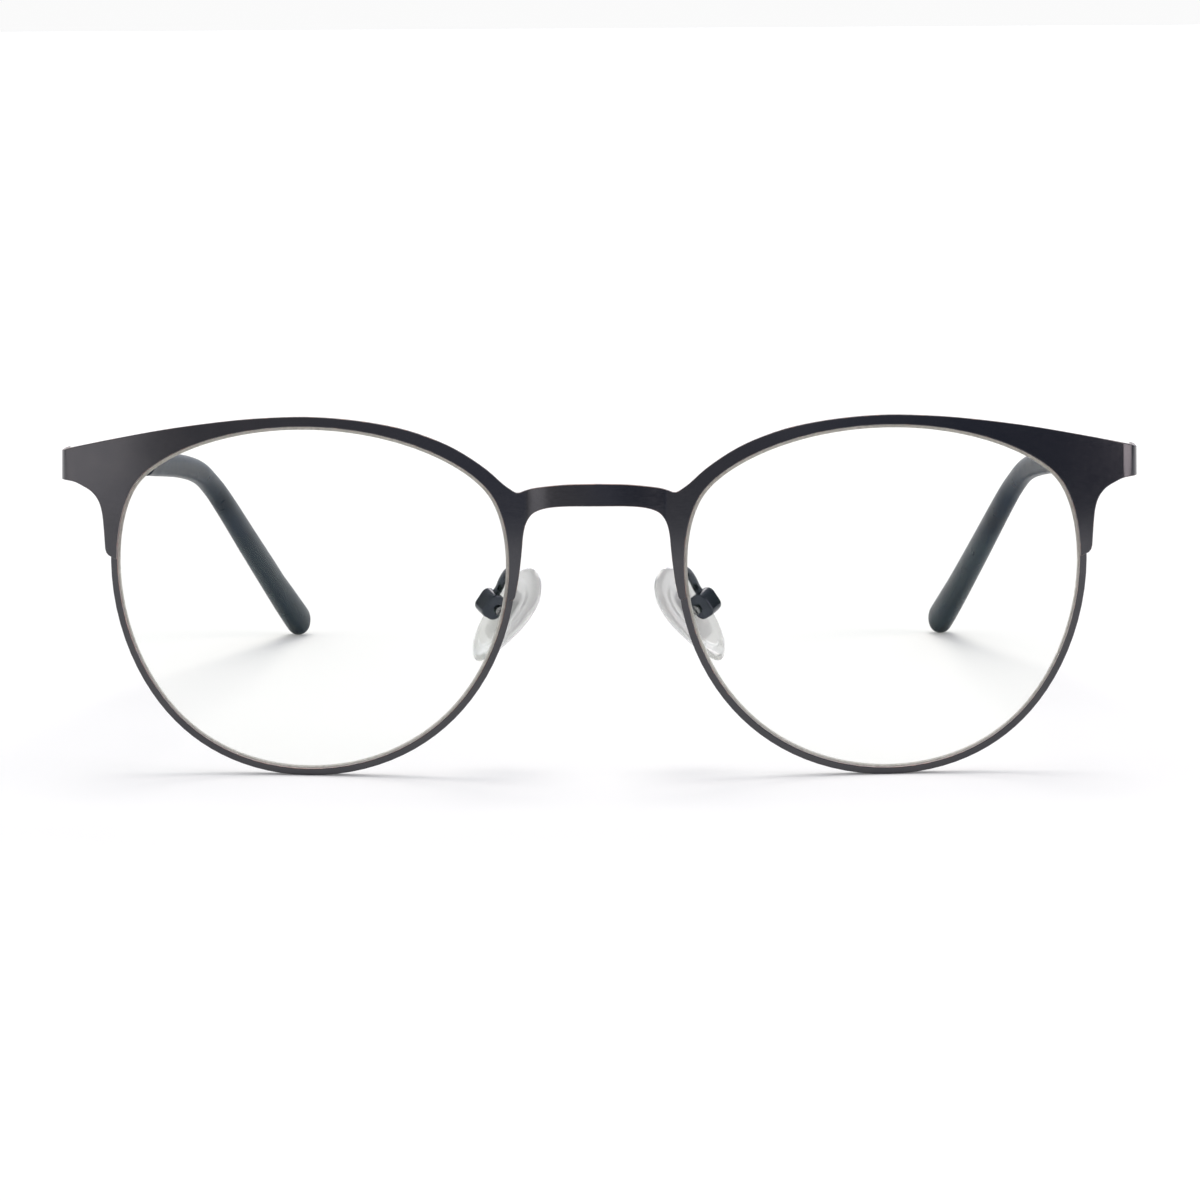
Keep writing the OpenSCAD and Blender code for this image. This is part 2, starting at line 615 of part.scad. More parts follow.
// Plate moulded into the pad, with the stud that turns on the pad screw
module insert_plate() {
  translate([0, 0, -insert_thickness])
    rounded_bar(insert_length, insert_width, insert_thickness, 1.5);
}
module pad_insert() {
  stud_thickness = slot_width - 2 * slot_play;
  pad_frame() {
    insert_plate();
    difference() {
      union() {
        translate([axis_up, 0, axis_in]) rotate([90, 0, 0])
          cylinder(d = stud_width, h = stud_thickness, center = true);
        translate([axis_up - stud_width / 2, -stud_thickness / 2, axis_in])
          cube([stud_width, stud_thickness, axis_out - insert_thickness + 0.05]);
      }
      pad_axis_hole(pad_screw_diameter + 2 * pad_screw_clearance);
    }
  }
}
// Soft pad: rings of its outline, from the box side to the domed nose side
pad_layers = [[-0.5, 0.8], [-0.47, 0.91], [-0.36, 0.98], [-0.12, 1],
  [0.12, 0.97], [0.3, 0.87], [0.42, 0.7], [0.49, 0.42]];
pad_steps = 32;
function pad_outline(k) = let (a = 360 * k / pad_steps)
  [pad_length / 2 * cos(a),
    pad_width / 2 * sin(a) * (1 + 0.18 * cos(a)) * pow(abs(sin(a)), -0.12 * abs(sin(a)))];
module nose_pad() {
  pad_frame() difference() {
    tube([for (l = pad_layers) [for (k = [pad_steps - 1:-1:0])
      [pad_outline(k)[0] * l[1], pad_outline(k)[1] * l[1], l[0] * pad_thickness]]]);
    insert_plate();
    translate([axis_up - stud_width / 2, -slot_width / 2 + slot_play, -pad_thickness])
      cube([stud_width, slot_width - 2 * slot_play, pad_thickness - insert_thickness + 0.05]);
  }
}
// Pad arm: a round wire from the back of the eyewire to the top of the pad box
arm_root = outline_point(182, eyewire_width / 2);
box_top = in_pad_frame([axis_up + box_length / 2 - 0.3, 0, axis_in - 0.95]);
arm_path = spline([[arm_root[0], front_y(arm_root[0], arm_root[1]) + eyewire_depth - 0.4, arm_root[1]],
  [11.05, 3.6, arm_root[1] - 0.05], [11.65, 4.85, 25.95], [12.25, 6.05, 24.9],
  box_top + 0.95 * pad_up - [0, 0.12, 0], box_top], 4);
// the way straight back from the eyewire at the arm's root
root_back = unit([wrap_offset - arm_root[0], base_curve, lens_z - arm_root[1]]);
root_start = [arm_root[0], front_y(arm_root[0], arm_root[1]), arm_root[1]] + eyewire_depth * root_back;
module pad_arm() {
  difference() {
    tube(tube_rings(arm_path, [for (p = arm_path) [pad_arm_diameter, pad_arm_diameter]], 16, 1, [1, 0, 0]));
    translate(root_start) rotate([0, 0, -atan2(root_back[0], root_back[1])])
      rotate([atan2(root_back[2], norm([root_back[0], root_back[1]])), 0, 0])
      translate([-2, -4, -2]) cube([4, 4, 4]);
    pad_frame() translate([axis_up + box_length / 2 - 3, -2, box_in - 2]) cube([3, 4, 4]);
  }
}

gunmetal = [0.27, 0.27, 0.3];
steel = [0.62, 0.62, 0.64];
module centred() {
  translate([0, -depth_middle, 0]) children();
}

color(gunmetal) centred() brow_plate();
color(gunmetal) centred() eyewire();  // left_eyewire
color(gunmetal) centred() mirrored() eyewire();  // right_eyewire
color([0.85, 0.93, 0.9, 0.35]) centred() lens();  // left_lens
color([0.85, 0.93, 0.9, 0.35]) centred() mirrored() lens();  // right_lens
color(gunmetal) centred() upper_block();  // left_upper_closing_block
color(gunmetal) centred() mirrored() upper_block();  // right_upper_closing_block
color(gunmetal) centred() lower_block();  // left_lower_closing_block
color(gunmetal) centred() mirrored() lower_block();  // right_lower_closing_block
color(steel) centred() rim_screw();  // left_rim_screw
color(steel) centred() mirrored() rim_screw();  // right_rim_screw
color(gunmetal) centred() front_leaf();  // left_front_hinge_leaf
color(gunmetal) centred() mirrored() front_leaf();  // right_front_hinge_leaf
color(gunmetal) centred() temple_leaf();  // left_temple_hinge_leaf
color(gunmetal) centred() mirrored() temple_leaf();  // right_temple_hinge_leaf
color(steel) centred() hinge_screw();  // left_hinge_screw
color(steel) centred() mirrored() hinge_screw();  // right_hinge_screw
color(gunmetal) centred() temple();  // left_temple
color(gunmetal) centred() mirrored() temple();  // right_temple
color([0.2, 0.25, 0.28]) centred() temple_tip();  // left_temple_tip
color([0.2, 0.25, 0.28]) centred() mirrored() temple_tip();  // right_temple_tip
color(gunmetal) centred() pad_arm();  // left_pad_arm
color(gunmetal) centred() mirrored() pad_arm();  // right_pad_arm
color([0.1, 0.11, 0.16]) centred() pad_box();  // left_pad_box
color([0.1, 0.11, 0.16]) centred() mirrored() pad_box();  // right_pad_box
color(steel) centred() pad_screw();  // left_pad_screw
color(steel) centred() mirrored() pad_screw();  // right_pad_screw
color(steel) centred() pad_insert();  // left_pad_insert
color(steel) centred() mirrored() pad_insert();  // right_pad_insert
color([0.85, 0.88, 0.86, 0.6]) centred() nose_pad();  // left_nose_pad
color([0.85, 0.88, 0.86, 0.6]) centred() mirrored() nose_pad();  // right_nose_pad
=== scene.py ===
import json
import math

import bmesh
import bpy
from mathutils import Matrix, Vector
from mathutils.bvhtree import BVHTree
from mathutils.geometry import barycentric_transform

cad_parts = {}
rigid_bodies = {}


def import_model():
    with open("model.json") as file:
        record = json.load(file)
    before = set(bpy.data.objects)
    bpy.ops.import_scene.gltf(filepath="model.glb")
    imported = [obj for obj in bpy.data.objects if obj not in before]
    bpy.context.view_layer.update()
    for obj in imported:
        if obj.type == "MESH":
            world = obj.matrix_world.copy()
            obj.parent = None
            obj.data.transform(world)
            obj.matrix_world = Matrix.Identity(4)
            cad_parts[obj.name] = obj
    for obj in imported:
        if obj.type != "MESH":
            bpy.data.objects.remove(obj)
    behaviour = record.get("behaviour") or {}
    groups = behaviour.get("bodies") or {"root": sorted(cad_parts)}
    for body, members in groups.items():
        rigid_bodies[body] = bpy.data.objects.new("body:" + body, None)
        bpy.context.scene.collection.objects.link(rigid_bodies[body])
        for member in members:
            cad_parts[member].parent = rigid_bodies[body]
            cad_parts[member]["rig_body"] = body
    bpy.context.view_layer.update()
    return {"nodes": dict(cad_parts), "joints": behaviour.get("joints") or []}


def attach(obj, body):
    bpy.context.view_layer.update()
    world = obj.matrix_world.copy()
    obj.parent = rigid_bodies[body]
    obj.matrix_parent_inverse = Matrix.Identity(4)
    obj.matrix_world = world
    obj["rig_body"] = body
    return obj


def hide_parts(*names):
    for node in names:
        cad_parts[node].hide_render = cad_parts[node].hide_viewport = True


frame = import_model()
cadNodes = frame["nodes"]
scene = bpy.context.scene
print("frame loaded:", len(cadNodes), "nodes")

sides = {"left": 1, "right": -1}  # the wearer's left is at +X
mm = 0.001


def kindOf(node):  # the side in a node's name, and the name without it
    side, _, kind = node.partition("_")
    return (side, kind) if side in sides else ("", node)


# Camera and room

cameraView = {
    "place": (0.0146, -0.67251, 0.097),
    "aim": (0.0, -0.07271, 0.023),
    "roll": -0.352,  # degrees
    "lens": 142.7,  # mm, on a sensor that is 36 mm wide
    "shift": 0.0028,
}

room = {
    "floorSize": 60.0,
    "floorColor": (0.84, 0.852, 0.832, 1),
    "floorGlow": (0.12, 0.4),  # near the object and far from it
    "floorGlowAt": (0.15, 0.9),  # how far off the first ends and the second begins
    "backdrop": 1.2,
    "skyLight": 1.0,
    "sunLight": 0.95,
    "sunAngle": 32,  # degrees
    "sunPlace": (0.0, 0.6, 2.0),
    "sunColor": (1.0, 0.96, 0.92),
}

# The sky's color is the sum of three that change with the direction
skyColors = {
    # from -X to +X
    "across": [(0.0, (0.44, 0.42, 0.43)), (0.36, (0.4, 0.4, 0.44)), (0.56, (0.34, 0.36, 0.45)),
               (0.7, (0.165, 0.19, 0.27)), (1.0, (0.1, 0.115, 0.17))],
    # from level with the object to +Y
    "behind": [(0.78, (0.0, 0.0, 0.0)), (0.92, (0.85, 0.86, 0.88))],
    # from low down to straight up
    "up": [(0.6, (0.0, 0.0, 0.0)), (1.0, (0.32, 0.32, 0.32))],
}

softboxes = {
    # place, aim, width, height, watts, color
    "leftBox": ((-1.15, -0.36, 0.34), (0.0, -0.06, 0.03), 1.5, 0.55, 2.9, (1.0, 0.97, 0.96)),
    "backBox": ((0.0, 0.8, 0.74), (0.0, -0.04, 0.03), 0.5, 0.2, 1.5, (1.0, 0.9, 0.84)),
    "rightBox": ((1.08, -0.33, 0.34), (0.07, -0.06, 0.04), 0.92, 0.55, 5.8, (1.0, 0.88, 0.87)),
}


def lookFrom(place, aim):
    place = Vector(place)
    turn = (Vector(aim) - place).to_track_quat("-Z", "Y").to_matrix().to_4x4()
    return Matrix.Translation(place) @ turn


def addCamera(view):
    camera = bpy.data.cameras.new("camera")
    camera.lens = view["lens"]
    camera.sensor_width = 36
    camera.shift_x = view["shift"]
    camera.clip_start = 0.01
    camera.clip_end = 100
    holder = bpy.data.objects.new("camera", camera)
    scene.collection.objects.link(holder)
    roll = Matrix.Rotation(math.radians(view["roll"]), 4, "Z")
    holder.matrix_world = lookFrom(view["place"], view["aim"]) @ roll
    scene.camera = holder


def rampOf(tree, value, stops):
    ramp = tree.nodes.new("ShaderNodeValToRGB")
    steps = ramp.color_ramp.elements
    while len(steps) < len(stops):
        steps.new(0.5)
    for step, (position, color) in zip(steps, stops):
        step.position, step.color = position, (*color, 1)
    tree.links.new(value, ramp.inputs["Fac"])
    return ramp.outputs["Color"]


def sumOf(tree, first, second):
    total = tree.nodes.new("ShaderNodeVectorMath")
    total.operation = "ADD"
    tree.links.new(first, total.inputs[0])
    tree.links.new(second, total.inputs[1])
    return total.outputs["Vector"]


def addSky():
    world = bpy.data.worlds.new("studio")
    world.use_nodes = True
    scene.world = world
    tree = world.node_tree
    around = tree.nodes.new("ShaderNodeTexCoord")
    half = tree.nodes.new("ShaderNodeVectorMath")  # the direction, moved from -1..1 to 0..1
    half.operation = "MULTIPLY_ADD"
    half.inputs[1].default_value = half.inputs[2].default_value = (0.5, 0.5, 0.5)
    split = tree.nodes.new("ShaderNodeSeparateXYZ")
    tree.links.new(around.outputs["Generated"], half.inputs[0])
    tree.links.new(half.outputs["Vector"], split.inputs["Vector"])
    across = rampOf(tree, split.outputs["X"], skyColors["across"])
    behind = rampOf(tree, split.outputs["Y"], skyColors["behind"])
    above = rampOf(tree, split.outputs["Z"], skyColors["up"])
    sky = tree.nodes["Background"]
    sky.inputs["Strength"].default_value = room["skyLight"]
    tree.links.new(sumOf(tree, sumOf(tree, across, behind), above), sky.inputs["Color"])
    seen = tree.nodes.new("ShaderNodeBackground")
    seen.inputs["Strength"].default_value = room["backdrop"]
    path = tree.nodes.new("ShaderNodeLightPath")
    mix = tree.nodes.new("ShaderNodeMixShader")
    tree.links.new(path.outputs["Is Camera Ray"], mix.inputs["Fac"])
    tree.links.new(sky.outputs["Background"], mix.inputs[1])
    tree.links.new(seen.outputs["Background"], mix.inputs[2])
    tree.links.new(mix.outputs["Shader"], tree.nodes["World Output"].inputs["Surface"])


def addLight(name, kind, place, aim, watts, color):
    light = bpy.data.lights.new(name, kind)
    light.energy = watts
    light.color = color
    holder = bpy.data.objects.new(name, light)
    holder.visible_camera = False
    scene.collection.objects.link(holder)
    holder.matrix_world = lookFrom(place, aim)
    return light


def addRoom():
    bm = bmesh.new()
    bmesh.ops.create_grid(bm, x_segments=2, y_segments=2, size=room["floorSize"] / 2)
    floor = newPiece("floor", bm, [floorPaint()])
    addSky()
    sun = addLight(
        "overhead", "SUN", room["sunPlace"], (0.0, 0.0, 0.0), room["sunLight"], room["sunColor"]
    )
    sun.angle = math.radians(room["sunAngle"])
    for name, (place, aim, width, height, watts, color) in softboxes.items():
        box = addLight(name, "AREA", place, aim, watts, color)
        box.shape = "RECTANGLE"
        box.size, box.size_y = width, height
    scene.view_settings.view_transform = "Standard"


# Finishes

noiseSpan = {"tint": (0.35, 0.65), "level": (0.3, 0.7)}  # the noise values that a finish spans


def shaderOf(material):
    return material.node_tree.nodes["Principled BSDF"]


def newFinish(name, **sockets):
    material = bpy.data.materials.new(name)
    material.use_nodes = True
    for socket, value in sockets.items():
        shaderOf(material).inputs[socket.replace("_", " ")].default_value = value
    return material


def grain(material, scale, detail=3.0, stretch=(1, 1, 1)):
    nodes, links = material.node_tree.nodes, material.node_tree.links
    place = nodes.new("ShaderNodeTexCoord")
    mapping = nodes.new("ShaderNodeMapping")
    mapping.inputs["Scale"].default_value = stretch
    noise = nodes.new("ShaderNodeTexNoise")
    noise.inputs["Scale"].default_value = scale
    noise.inputs["Detail"].default_value = detail
    links.new(place.outputs["Object"], mapping.inputs["Vector"])
    links.new(mapping.outputs["Vector"], noise.inputs["Vector"])
    return noise.outputs["Fac"]


def spreadOver(material, value, span, levels):  # turns a span of a value into two levels
    spread = material.node_tree.nodes.new("ShaderNodeMapRange")
    spread.inputs["From Min"].default_value, spread.inputs["From Max"].default_value = span
    spread.inputs["To Min"].default_value, spread.inputs["To Max"].default_value = levels
    material.node_tree.links.new(value, spread.inputs["Value"])
    return spread.outputs["Result"]


def tintBy(material, value, low, high):
    color = rampOf(material.node_tree, value, list(zip(noiseSpan["tint"], (low, high))))
    material.node_tree.links.new(color, shaderOf(material).inputs["Base Color"])


def levelBy(material, value, low, high):
    level = spreadOver(material, value, noiseSpan["level"], (low, high))
    material.node_tree.links.new(level, shaderOf(material).inputs["Roughness"])


def bumpBy(material, value, depth):
    bump = material.node_tree.nodes.new("ShaderNodeBump")
    bump.inputs["Distance"].default_value = depth
    bump.inputs["Strength"].default_value = 1.0
    material.node_tree.links.new(value, bump.inputs["Height"])
    material.node_tree.links.new(bump.outputs["Normal"], shaderOf(material).inputs["Normal"])


def floorPaint():
    paint = newFinish(
        "floorPaint", Roughness=0.9, Specular_IOR_Level=0.1,
        Base_Color=room["floorColor"], Emission_Color=(1, 1, 1, 1),
    )
    nodes, links = paint.node_tree.nodes, paint.node_tree.links
    place = nodes.new("ShaderNodeTexCoord")
    away = nodes.new("ShaderNodeVectorMath")
    away.operation = "LENGTH"
    links.new(place.outputs["Object"], away.inputs[0])
    glow = spreadOver(paint, away.outputs["Value"], room["floorGlowAt"], room["floorGlow"])
    links.new(glow, shaderOf(paint).inputs["Emission Strength"])
    return paint


satinGunmetal = newFinish("satinGunmetal", Metallic=1.0)
tintBy(satinGunmetal, grain(satinGunmetal, 240), (0.071, 0.071, 0.077), (0.079, 0.078, 0.083))
levelBy(satinGunmetal, grain(satinGunmetal, 1500, stretch=(1, 1, 5)), 0.16, 0.22)
bumpBy(satinGunmetal, grain(satinGunmetal, 9000, 2), 1.0e-6)

warmCutEdge = newFinish("warmCutEdge", Metallic=1.0)  # the cut edges of the sheet and the wire; their warm brown, lighter tint is a painted reflection
tintBy(warmCutEdge, grain(warmCutEdge, 700), (0.13, 0.085, 0.07), (0.2, 0.135, 0.11))
levelBy(warmCutEdge, grain(warmCutEdge, 2600), 0.26, 0.36)
bumpBy(warmCutEdge, grain(warmCutEdge, 5200, 2), 2.0e-6)

glossyBlueBlack = newFinish("glossyBlueBlack", Metallic=1.0)
tintBy(glossyBlueBlack, grain(glossyBlueBlack, 500), (0.038, 0.041, 0.054), (0.054, 0.057, 0.072))
levelBy(glossyBlueBlack, grain(glossyBlueBlack, 2500), 0.1, 0.17)
bumpBy(glossyBlueBlack, grain(glossyBlueBlack, 1400, 2), 4e-6)

darkSteel = newFinish("darkSteel", Metallic=1.0)
tintBy(darkSteel, grain(darkSteel, 2400), (0.15, 0.15, 0.155), (0.28, 0.28, 0.28))
levelBy(darkSteel, grain(darkSteel, 5000), 0.2, 0.34)

paleSteel = newFinish("paleSteel", Metallic=1.0)  # the plate inside a pad
tintBy(paleSteel, grain(paleSteel, 1400), (0.84, 0.85, 0.84), (0.92, 0.92, 0.91))
levelBy(paleSteel, grain(paleSteel, 3000), 0.3, 0.45)

tipAcetate = newFinish("tipAcetate", IOR=1.49, Specular_IOR_Level=0.1)
tintBy(tipAcetate, grain(tipAcetate, 90, 4), (0.006, 0.0122, 0.0215), (0.009, 0.0175, 0.031))
levelBy(tipAcetate, grain(tipAcetate, 700), 0.27, 0.33)
bumpBy(tipAcetate, grain(tipAcetate, 2200, 2), 1.5e-6)

clearLens = newFinish(
    "clearLens", Transmission_Weight=1.0, Roughness=0.0, IOR=1.5,
    Specular_Tint=(0.1, 0.15, 0.12, 1),  # anti-reflection coating
)
tintBy(clearLens, grain(clearLens, 120), (0.983, 0.994, 0.97), (0.987, 0.996, 0.974))

groundEdge = newFinish("groundEdge", Transmission_Weight=0.2, IOR=1.5)
tintBy(groundEdge, grain(groundEdge, 1800), (0.7, 0.71, 0.63), (0.86, 0.86, 0.78))
levelBy(groundEdge, grain(groundEdge, 4000), 0.45, 0.7)

clearSilicone = newFinish(
    "clearSilicone", Transmission_Weight=0.6, IOR=1.42, Coat_Weight=0.7, Coat_Roughness=0.06
)
tintBy(clearSilicone, grain(clearSilicone, 420), (0.93, 0.945, 0.92), (0.97, 0.975, 0.95))
levelBy(clearSilicone, grain(clearSilicone, 1600), 0.08, 0.18)
bumpBy(clearSilicone, grain(clearSilicone, 900, 2), 4e-6)

nodeFinish = {
    "brow_plate": satinGunmetal,
    "eyewire": satinGunmetal,
    "lens": clearLens,
    "upper_closing_block": satinGunmetal,
    "lower_closing_block": satinGunmetal,
    "rim_screw": darkSteel,
    "front_hinge_leaf": satinGunmetal,
    "temple_hinge_leaf": satinGunmetal,
    "hinge_screw": satinGunmetal,
    "temple": satinGunmetal,
    "temple_tip": tipAcetate,
    "pad_arm": glossyBlueBlack,
    "pad_box": glossyBlueBlack,
    "pad_screw": darkSteel,
    "pad_insert": paleSteel,
    "nose_pad": clearSilicone,
}
for name, node in cadNodes.items():
    for slot in node.material_slots:
        slot.material = nodeFinish[kindOf(name)[1]]
print("finishes made")


# Tools for the pieces

meshing = {
    "merge": 2e-7,  # m, corners closer than this are made one
    "flat": 0.4,  # degrees, faces that turn less than this are made one
    "sharp": 40,  # degrees, an edge that turns more than this is a real edge
    "smooth": 30,  # degrees, the shading of a solid runs on over edges that turn less
}
shading = {
    "inward": 0.01,  # how far inside its face a corner is looked up
    "agree": 0.94,  # how well the shading found has to agree with the face
}


def smoothShade(mesh, angle):
    for face in mesh.polygons:
        face.use_smooth = True
    mesh.set_sharp_from_angle(angle=math.radians(angle))


def newPiece(name, bm, materials, smooth=35):
    mesh = bpy.data.meshes.new(name)
    bm.to_mesh(mesh)
    bm.free()
    for material in materials:
        mesh.materials.append(material)
    smoothShade(mesh, smooth)
    piece = bpy.data.objects.new(name, mesh)
    scene.collection.objects.link(piece)
    return piece


def mergedCad(node):  # a solid's mesh is loose triangles until it is merged
    bm = bmesh.new()
    bm.from_mesh(cadNodes[node].data)
    bmesh.ops.remove_doubles(bm, verts=bm.verts, dist=meshing["merge"])
    return bm


def copyOf(node):
    bm = mergedCad(node)
    bmesh.ops.dissolve_limit(
        bm, angle_limit=math.radians(meshing["flat"]), verts=bm.verts, edges=bm.edges
    )
    for face in bm.faces:
        face.material_index = 0
    return bm


def easeEdges(bm, width, segments):
    eased = bm.faces.layers.int.new("eased")
    sharp = [e for e in bm.edges if e.calc_face_angle(0) > math.radians(meshing["sharp"])]
    made = bmesh.ops.bevel(
        bm, geom=sharp, offset=width, segments=segments, profile=0.5,
        affect="EDGES", clamp_overlap=False, material=-1,
    )
    for face in made["faces"]:
        face[eased] = 1


def smoothedCad(node):  # the solid with rounded shading along its curves
    bm = mergedCad(node)
    mesh = bpy.data.meshes.new("smoothedCad")
    bm.to_mesh(mesh)
    bm.free()
    if "custom_normal" in mesh.attributes:
        mesh.attributes.remove(mesh.attributes["custom_normal"])
    smoothShade(mesh, meshing["smooth"])
    return mesh


def shadeLike(piece, node):  # gives the copy of a solid the solid's own shading
    mesh = piece.data
    isSheet = node == "brow_plate"
    source = cadNodes[node].data if isSheet else smoothedCad(node)
    corners = source.corner_normals
    spots = [v.co for v in source.vertices]
    tree = BVHTree.FromPolygons(spots, [p.vertices for p in source.polygons])
    eased = mesh.attributes["eased"].data
    normals = [Vector() for loop in mesh.loops]  # Blender works out those left at zero
    known = {}
    for face in mesh.polygons:
        if eased[face.index].value:
            continue
        for loop in face.loop_indices:
            vert = mesh.loops[loop].vertex_index
            probe = mesh.vertices[vert].co.lerp(face.center, shading["inward"])
            spot, _, found, _ = tree.find_nearest(probe)
            near = source.polygons[found]
            normal = barycentric_transform(
                spot, *(spots[v] for v in near.vertices),
                *(corners[c].vector for c in near.loop_indices),
            ).normalized()
            if normal.dot(face.normal) > shading["agree"]:
                if isSheet:
                    crownBridge(normal, spot.x)
                normals[loop] = known[vert] = normal
    for face in mesh.polygons:
        if eased[face.index].value:
            for loop in face.loop_indices:
                normals[loop] = known.get(mesh.loops[loop].vertex_index, normals[loop])
    mesh.normals_split_custom_set(normals)
    if not isSheet:
        bpy.data.meshes.remove(source)
    mesh.attributes.remove(mesh.attributes["eased"])


def bothSides(bm):  # a left shape and its mirror image
    twin = bm.copy()
    bmesh.ops.scale(twin, vec=(-1, 1, 1), verts=twin.verts)
    bmesh.ops.recalc_face_normals(twin, faces=twin.faces)
    return {"left": bm, "right": twin}


def settle(piece, node):  # the piece stands for the node, on its body
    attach(piece, cadNodes[node]["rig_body"])
    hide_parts(node)


# Front: the lens outline, its curve, and what is lofted around it

lensOutline = {
    # mm
    "width": 50.6,
    "height": 44.1,
    "gap": 22.3,  # between the two lenses
    "browFullness": 1.126,
    "cornerFullness": 0.492,
    "noseLean": 0.189,
    "baseCurve": 120,  # how far behind the front the curve's middle is
    "wrap": 23.6,  # how far to the side it is
    "rim": 0.9,
    "depthMiddle": 72.7139,  # from the front plane back to the frame's origin
    "steps": 192,
}


def reachAt(turn):  # how far the outline is from its middle, and how that changes
    shape = lensOutline
    mean = (shape["width"] + shape["height"]) / 4 + shape["cornerFullness"]
    wider = (shape["width"] - shape["height"]) / 4
    reach = (
        mean + wider * math.cos(2 * turn) - shape["noseLean"] * math.cos(3 * turn)
        + shape["browFullness"] * math.sin(3 * turn) - shape["cornerFullness"] * math.cos(4 * turn)
    )
    slope = (
        -2 * wider * math.sin(2 * turn) + 3 * shape["noseLean"] * math.sin(3 * turn)
        + 3 * shape["browFullness"] * math.cos(3 * turn)
        + 4 * shape["cornerFullness"] * math.sin(4 * turn)
    )
    return reach, slope


lensMiddle = (
    lensOutline["gap"] / 2 + reachAt(math.pi)[0],
    reachAt(1.5 * math.pi)[0] + lensOutline["rim"],
)
curveMiddle = Vector((lensOutline["wrap"], lensOutline["baseCurve"], lensMiddle[1]))


def frontPoint(turn, out, radius, share):
    reach, slope = reachAt(turn)
    x = lensMiddle[0] + share * ((reach + out) * math.cos(turn) - slope * math.sin(turn))
    z = lensMiddle[1] + share * ((reach + out) * math.sin(turn) + slope * math.cos(turn))
    dx, dz = x - curveMiddle.x, z - curveMiddle.z
    y = curveMiddle.y - math.sqrt(radius ** 2 - dx ** 2 - dz ** 2)
    return Vector((x, y - lensOutline["depthMiddle"], z)) * mm


def loft(places, steps, skins=None):  # a place turns a share of the way round into a point
    bm = bmesh.new()
    around = bm.verts.layers.int.new("around")
    ring = bmesh.ops.create_circle(bm, segments=steps, radius=1)["verts"]
    for step, vert in enumerate(ring):
        vert[around] = step
    edges = list(bm.edges)
    for level, place in enumerate(places):
        if level:
            grown = bmesh.ops.extrude_edge_only(bm, edges=edges)["geom"]
            ring = [g for g in grown if isinstance(g, bmesh.types.BMVert)]
            faces = [g for g in grown if isinstance(g, bmesh.types.BMFace)]
            edges = [
                g for g in grown if isinstance(g, bmesh.types.BMEdge)
                and all(v in ring for v in g.verts)
            ]
            for face in faces:
                face.material_index = skins[level - 1] if skins else 0
        for vert in ring:
            vert.co = place(vert[around] / steps)
    bmesh.ops.remove_doubles(bm, verts=bm.verts, dist=meshing["merge"])
    bmesh.ops.recalc_face_normals(bm, faces=bm.faces)
    return bm


lensShape = {
    # mm
    "frontRadius": 119.8,
    "backRadius": 118.3,
    "gap": 0.03,  # between the lens and the outline
    "chamfer": 0.36,
    "chamferDeep": 0.3,
    "tongue": 0.35,  # the bevel that sits in the eyewire's groove
    "tongueFront": 119.36,
    "tongueBack": 118.74,
    "rings": (0, 0.2, 0.4, 0.6, 0.75, 0.88),  # shares of the outline
    "smooth": 20,  # degrees
}


def makeLenses():
    shape = lensShape
    rings = shape["rings"]
    edge, inner = -shape["gap"], -shape["gap"] - shape["chamfer"]
    front, back, deep = shape["frontRadius"], shape["backRadius"], shape["chamferDeep"]
    rim = [
        (inner, front), (edge, front - deep),
        (edge, shape["tongueFront"]), (shape["tongue"], shape["tongueFront"]),
        (shape["tongue"], shape["tongueBack"]), (edge, shape["tongueBack"]),
        (edge, back + deep), (inner, back),
    ]
    profile = [(0.0, front, share) for share in rings]
    profile += [(out, radius, 1) for out, radius in rim]
    profile += [(0.0, back, share) for share in reversed(rings)]
    skins = [0] * len(rings) + [1] * (len(rim) - 1) + [0] * len(rings)  # 1 is the ground edge
    places = [lambda t, p=p: frontPoint(2 * math.pi * t, *p) for p in profile]
    bm = loft(places, lensOutline["steps"], skins)
    for side, shell in bothSides(bm).items():
        lens = newPiece(side + "LensCut", shell, [clearLens, groundEdge], shape["smooth"])
        # light passes the clear lens as if it weren't there
        lens.visible_shadow = lens.visible_diffuse = lens.visible_glossy = False
        settle(lens, side + "_lens")


# Metalwork: the solids' own shapes with their edges eased

metalwork = {
    # name, width of the eased edge in mm, facets across it
    "brow_plate": ("browSheet", 0.12, 3),
    "eyewire": ("RimWire", 0.12, 3),
    "temple": ("TempleBar", 0.14, 3),
    "upper_closing_block": ("UpperBlock", 0.1, 3),
    "lower_closing_block": ("LowerBlock", 0.1, 3),
    "front_hinge_leaf": ("FrontLeaf", 0.07, 2),
    "temple_hinge_leaf": ("TempleLeaf", 0.07, 2),
    "rim_screw": ("RimScrew", 0.04, 2),
    "hinge_screw": ("HingeScrew", 0.04, 2),
    "pad_box": ("PadBox", 0.26, 4),
    "pad_screw": ("PadScrew", 0.03, 2),
    "pad_insert": ("PadInsert", 0.05, 2),
}
metalSmooth = 32  # degrees

# The bridge is shaded a little rounder than it is, over this half of its width in mm
bridgeCrown = {"halfWidth": 9.1, "edge": 1.6, "rounder": 1.65, "facing": 0.9}
# The temple's top dips behind the endpiece, over this stretch from the front plane in mm
hingeEnd = {"level": 39.3, "drop": 0.3, "from": 16.0, "to": 28.0}
# The hinge screw keeps this share of its height over the level in mm
hingeHead = {"level": 40.4, "share": 0.4}
# A face of the eyewire takes the painted warm reflection where it looks this well towards the lens
paintedReflectionWall = {"inward": 0.75}


def crownBridge(normal, x):
    inside = (bridgeCrown["halfWidth"] - abs(x) / mm) / bridgeCrown["edge"]
    if inside > 0 and abs(normal.y) > bridgeCrown["facing"]:
        normal.x *= 1 + (bridgeCrown["rounder"] - 1) * min(inside, 1)
        normal.normalize()


